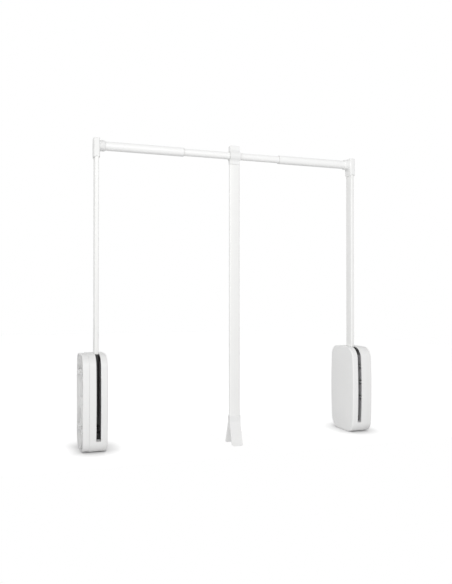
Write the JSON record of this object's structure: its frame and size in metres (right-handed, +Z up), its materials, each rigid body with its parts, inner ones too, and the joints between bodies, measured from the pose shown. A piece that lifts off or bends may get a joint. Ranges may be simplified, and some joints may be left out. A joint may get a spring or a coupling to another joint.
{
  "type": "pull down closet rod",
  "caption": "Pull-down wardrobe rail: wall boxes with spring-lifted arms, a telescopic crossbar between them and a hanging pull bar with a grip.",
  "frame": {"origin": "centre of the left box's wall face", "axes": "+X along the crossbar from the left box to the right box, -Y towards the front, where the rail comes down, +Z up"},
  "size_m": [0.87, 0.137, 0.8715],
  "materials": {
    "white_steel": "smooth white powder coat, semi-gloss",
    "white_plastic": "moulded white plastic, fine satin grain",
    "grey_plastic": "moulded grey plastic",
    "black_plastic": "black glass-filled nylon, moulded",
    "zinc_steel": "zinc-plated pressed steel",
    "spring_steel": "oiled dark spring steel",
    "black_rubber": "matt black rubber",
    "nylon": "natural white nylon"
  },
  "bodies": {
    "left_box": {"left_base_shell": "white_plastic", "left_cover": "white_plastic", "left_channel": "zinc_steel", "left_lift_spring": "spring_steel", "left_damper": "grey_plastic", "left_rest_stop": "black_rubber", "left_down_stop": "black_rubber", "left_cover_screw_1": "zinc_steel", "left_cover_screw_2": "zinc_steel", "left_cover_screw_3": "zinc_steel", "left_cover_screw_4": "zinc_steel"},
    "left_arm": {"left_axle": "zinc_steel", "left_arm_hub": "black_plastic", "left_arm_tube": "white_steel", "left_corner_connector": "white_plastic", "left_connector_screw": "zinc_steel", "left_outer_tube": "white_steel", "left_tube_guide": "nylon"},
    "rail": {"inner_tube": "white_steel"},
    "pull_bar": {"bar_head": "white_plastic", "bar_head_bush_left": "nylon", "bar_head_bush_right": "nylon", "pull_bar": "white_steel", "grip": "white_plastic", "grip_screw": "zinc_steel"},
    "right_arm": {"right_axle": "zinc_steel", "right_arm_hub": "black_plastic", "right_arm_tube": "white_steel", "right_corner_connector": "white_plastic", "right_connector_screw": "zinc_steel", "right_outer_tube": "white_steel", "right_tube_guide": "nylon"},
    "right_box": {"right_base_shell": "white_plastic", "right_cover": "white_plastic", "right_channel": "zinc_steel", "right_lift_spring": "spring_steel", "right_damper": "grey_plastic", "right_rest_stop": "black_rubber", "right_down_stop": "black_rubber", "right_cover_screw_1": "zinc_steel", "right_cover_screw_2": "zinc_steel", "right_cover_screw_3": "zinc_steel", "right_cover_screw_4": "zinc_steel"}
  },
  "joints": [
    {"name": "left_arm_pivot", "type": "hinge", "parent": "left_box", "child": "left_arm", "pos_m": [0.041, -0.011, -0.055], "axis": [1, 0, 0], "range_deg": [0, 105], "stiffness_Nm_per_rad": 14, "springref_deg": -57.3, "deforming": ["left_lift_spring"]},
    {"name": "left_rail_extension", "type": "slide", "parent": "left_arm", "child": "rail", "axis": [1, 0, 0], "range_m": [-0.02, 0.14]},
    {"name": "pull_bar_swing", "type": "hinge", "parent": "rail", "child": "pull_bar", "pos_m": [0.442, -0.011, 0.695], "axis": [1, 0, 0], "range_deg": [-115, 30]},
    {"name": "right_rail_extension", "type": "slide", "parent": "rail", "child": "right_arm", "axis": [1, 0, 0], "range_m": [-0.02, 0.14]},
    {"name": "right_arm_pivot", "type": "hinge", "parent": "right_arm", "child": "right_box", "pos_m": [0.829, -0.011, -0.055], "axis": [1, 0, 0], "range_deg": [-105, 0], "deforming": ["right_lift_spring"]}
  ],
  "couplings": [
    {"joint": "right_arm_pivot", "follows": "left_arm_pivot", "ratio": -1}
  ]
}
